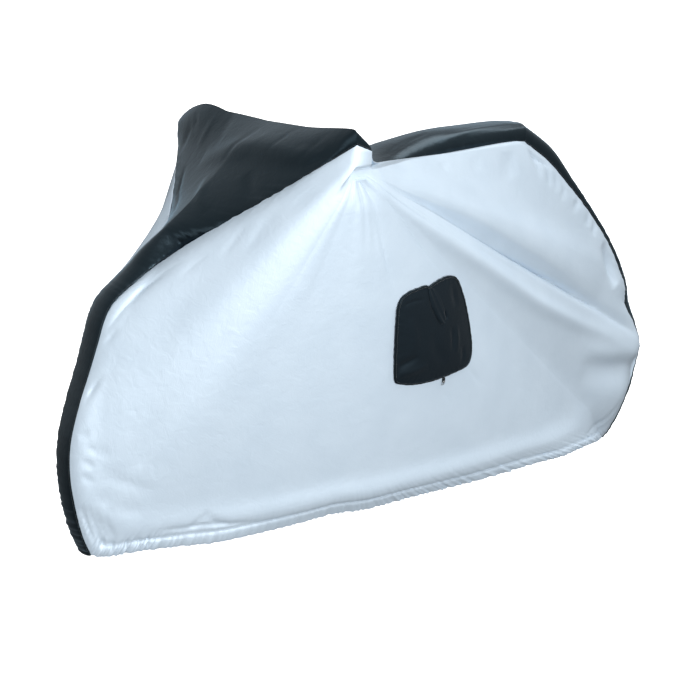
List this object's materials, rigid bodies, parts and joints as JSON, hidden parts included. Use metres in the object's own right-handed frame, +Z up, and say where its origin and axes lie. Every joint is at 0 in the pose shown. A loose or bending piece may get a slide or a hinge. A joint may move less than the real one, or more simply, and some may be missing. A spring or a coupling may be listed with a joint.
{
  "type": "bicycle cover",
  "caption": "Fitted dust and rain cover for a parked bicycle: silver side panels, a dark band over the top with a wide hood, and a pouch on the left side.",
  "frame": {"origin": "underside of the cloth on the hump behind the hood, where the cover bears on what it covers", "axes": "+X forward to the nose, +Y to the left side that carries the pocket, +Z up"},
  "size_m": [1.773, 0.6762, 0.9707],
  "materials": {
    "silver_cloth": "satin",
    "black_cloth": "satin",
    "pocket_cloth": "matte",
    "slider_plastic": "matte",
    "puller_metal": "satin"
  },
  "bodies": {
    "root": {"side_panel_left": "silver_cloth", "side_panel_right": "silver_cloth", "front_panel": "black_cloth", "top_panel": "black_cloth", "tail_panel": "black_cloth", "pocket": "pocket_cloth", "pocket_tab": "pocket_cloth", "pocket_binding": "pocket_cloth", "zip_slider": "slider_plastic", "zip_puller": "puller_metal"}
  },
  "joints": []
}
